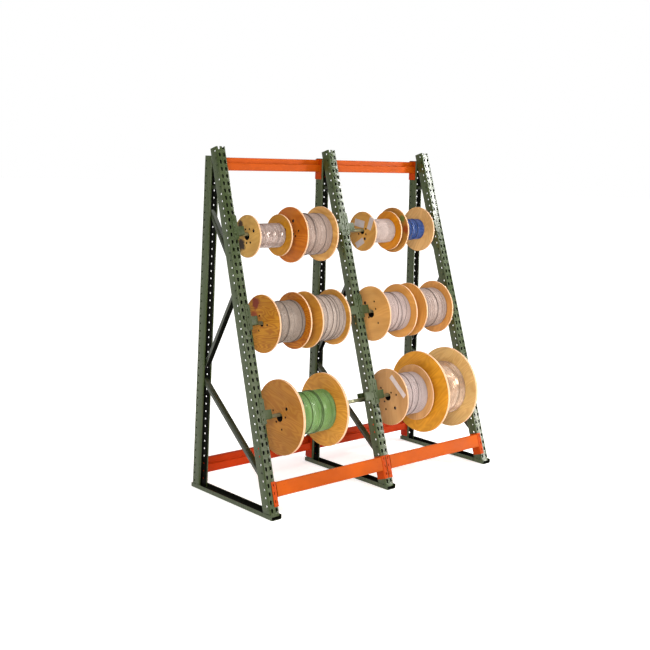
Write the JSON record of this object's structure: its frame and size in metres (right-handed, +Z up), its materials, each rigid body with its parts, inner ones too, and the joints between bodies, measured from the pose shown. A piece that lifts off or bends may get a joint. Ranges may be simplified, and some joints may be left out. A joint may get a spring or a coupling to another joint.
{
  "type": "wire spool rack",
  "caption": "Wire spool rack: leaning slotted posts and step beams hold lift-out rods, and plywood spools of wire turn on the rods.",
  "frame": {"origin": "on the floor under the middle of the rack", "axes": "+X along the rods from the left frame to the right one, +Y from the leaning front to the upright back, +Z up"},
  "size_m": [2.1312, 0.9212, 2.3412],
  "materials": {
    "frame_green": "satin",
    "beam_orange": "satin",
    "rod_steel": "satin",
    "plywood": "matte",
    "wire_clear": "gloss",
    "wire_grey": "satin",
    "wire_green": "satin",
    "wire_white": "satin",
    "wire_blue": "satin",
    "wire_copper": "gloss"
  },
  "bodies": {
    "rack": {"frame_left": "frame_green", "frame_middle": "frame_green", "frame_right": "frame_green", "beam_top_left": "beam_orange", "beam_top_right": "beam_orange", "beam_back_left": "beam_orange", "beam_back_right": "beam_orange", "beam_front_left": "beam_orange", "beam_front_right": "beam_orange", "cradle_low_1": "frame_green", "cradle_low_2": "frame_green", "cradle_low_3": "frame_green", "cradle_low_4": "frame_green", "cradle_mid_1": "frame_green", "cradle_mid_2": "frame_green", "cradle_mid_3": "frame_green", "cradle_mid_4": "frame_green", "cradle_top_1": "frame_green", "cradle_top_2": "frame_green", "cradle_top_3": "frame_green", "cradle_top_4": "frame_green"},
    "rod_low_left": {"rod_low_left": "rod_steel"},
    "rod_low_right": {"rod_low_right": "rod_steel"},
    "rod_mid_left": {"rod_mid_left": "rod_steel"},
    "rod_mid_right": {"rod_mid_right": "rod_steel"},
    "rod_top_left": {"rod_top_left": "rod_steel"},
    "rod_top_right": {"rod_top_right": "rod_steel"},
    "spool_a": {"spool_a_flange_left": "plywood", "spool_a_winding": "wire_clear", "spool_a_flange_right": "plywood"},
    "spool_b": {"spool_b_flange_left": "plywood", "spool_b_winding": "wire_grey", "spool_b_flange_right": "plywood"},
    "spool_c": {"spool_c_flange_left": "plywood", "spool_c_winding": "wire_grey", "spool_c_flange_right": "plywood"},
    "spool_d": {"spool_d_flange_left": "plywood", "spool_d_winding": "wire_grey", "spool_d_flange_right": "plywood"},
    "spool_e": {"spool_e_flange_left": "plywood", "spool_e_winding": "wire_green", "spool_e_flange_right": "plywood"},
    "spool_f": {"spool_f_flange_left": "plywood", "spool_f_winding": "wire_white", "spool_f_flange_right": "plywood"},
    "spool_g": {"spool_g_flange_left": "plywood", "spool_g_winding": "wire_blue", "spool_g_flange_right": "plywood"},
    "spool_h": {"spool_h_flange_left": "plywood", "spool_h_winding": "wire_grey", "spool_h_flange_right": "plywood"},
    "spool_i": {"spool_i_flange_left": "plywood", "spool_i_winding": "wire_grey", "spool_i_flange_right": "plywood"},
    "spool_j": {"spool_j_flange_left": "plywood", "spool_j_winding": "wire_grey", "spool_j_flange_right": "plywood"},
    "spool_k": {"spool_k_flange_left": "plywood", "spool_k_winding": "wire_copper", "spool_k_flange_right": "plywood"}
  },
  "joints": [
    {"name": "rod_low_left_lift", "type": "slide", "parent": "rack", "child": "rod_low_left", "axis": [0, 0, 1], "range_m": [0, 0.075]},
    {"name": "rod_low_right_lift", "type": "slide", "parent": "rack", "child": "rod_low_right", "axis": [0, 0, 1], "range_m": [0, 0.075]},
    {"name": "rod_mid_left_lift", "type": "slide", "parent": "rack", "child": "rod_mid_left", "axis": [0, 0, 1], "range_m": [0, 0.075]},
    {"name": "rod_mid_right_lift", "type": "slide", "parent": "rack", "child": "rod_mid_right", "axis": [0, 0, 1], "range_m": [0, 0.075]},
    {"name": "rod_top_left_lift", "type": "slide", "parent": "rack", "child": "rod_top_left", "axis": [0, 0, 1], "range_m": [0, 0.075]},
    {"name": "rod_top_right_lift", "type": "slide", "parent": "rack", "child": "rod_top_right", "axis": [0, 0, 1], "range_m": [0, 0.075]},
    {"name": "spool_a_spin", "type": "hinge", "parent": "rod_top_left", "child": "spool_a", "pos_m": [-0.72, 0.1997, 1.7282], "axis": [1, 0, 0], "continuous": true},
    {"name": "spool_b_spin", "type": "hinge", "parent": "rod_top_left", "child": "spool_b", "pos_m": [-0.336, 0.1997, 1.7282], "axis": [1, 0, 0], "continuous": true},
    {"name": "spool_c_spin", "type": "hinge", "parent": "rod_mid_left", "child": "spool_c", "pos_m": [-0.7115, 0.0169, 1.1543], "axis": [1, 0, 0], "continuous": true},
    {"name": "spool_d_spin", "type": "hinge", "parent": "rod_mid_left", "child": "spool_d", "pos_m": [-0.343, 0.0169, 1.1513], "axis": [1, 0, 0], "continuous": true},
    {"name": "spool_e_spin", "type": "hinge", "parent": "rod_low_left", "child": "spool_e", "pos_m": [-0.618, -0.1656, 0.5623], "axis": [1, 0, 0], "continuous": true},
    {"name": "spool_f_spin", "type": "hinge", "parent": "rod_top_right", "child": "spool_f", "pos_m": [0.3705, 0.1997, 1.7332], "axis": [1, 0, 0], "continuous": true},
    {"name": "spool_g_spin", "type": "hinge", "parent": "rod_top_right", "child": "spool_g", "pos_m": [0.6985, 0.1997, 1.7362], "axis": [1, 0, 0], "continuous": true},
    {"name": "spool_h_spin", "type": "hinge", "parent": "rod_mid_right", "child": "spool_h", "pos_m": [0.318, 0.0169, 1.1433], "axis": [1, 0, 0], "continuous": true},
    {"name": "spool_i_spin", "type": "hinge", "parent": "rod_mid_right", "child": "spool_i", "pos_m": [0.713, 0.0169, 1.1463], "axis": [1, 0, 0], "continuous": true},
    {"name": "spool_j_spin", "type": "hinge", "parent": "rod_low_right", "child": "spool_j", "pos_m": [0.331, -0.1656, 0.5653], "axis": [1, 0, 0], "continuous": true},
    {"name": "spool_k_spin", "type": "hinge", "parent": "rod_low_right", "child": "spool_k", "pos_m": [0.6835, -0.1656, 0.5623], "axis": [1, 0, 0], "continuous": true}
  ]
}
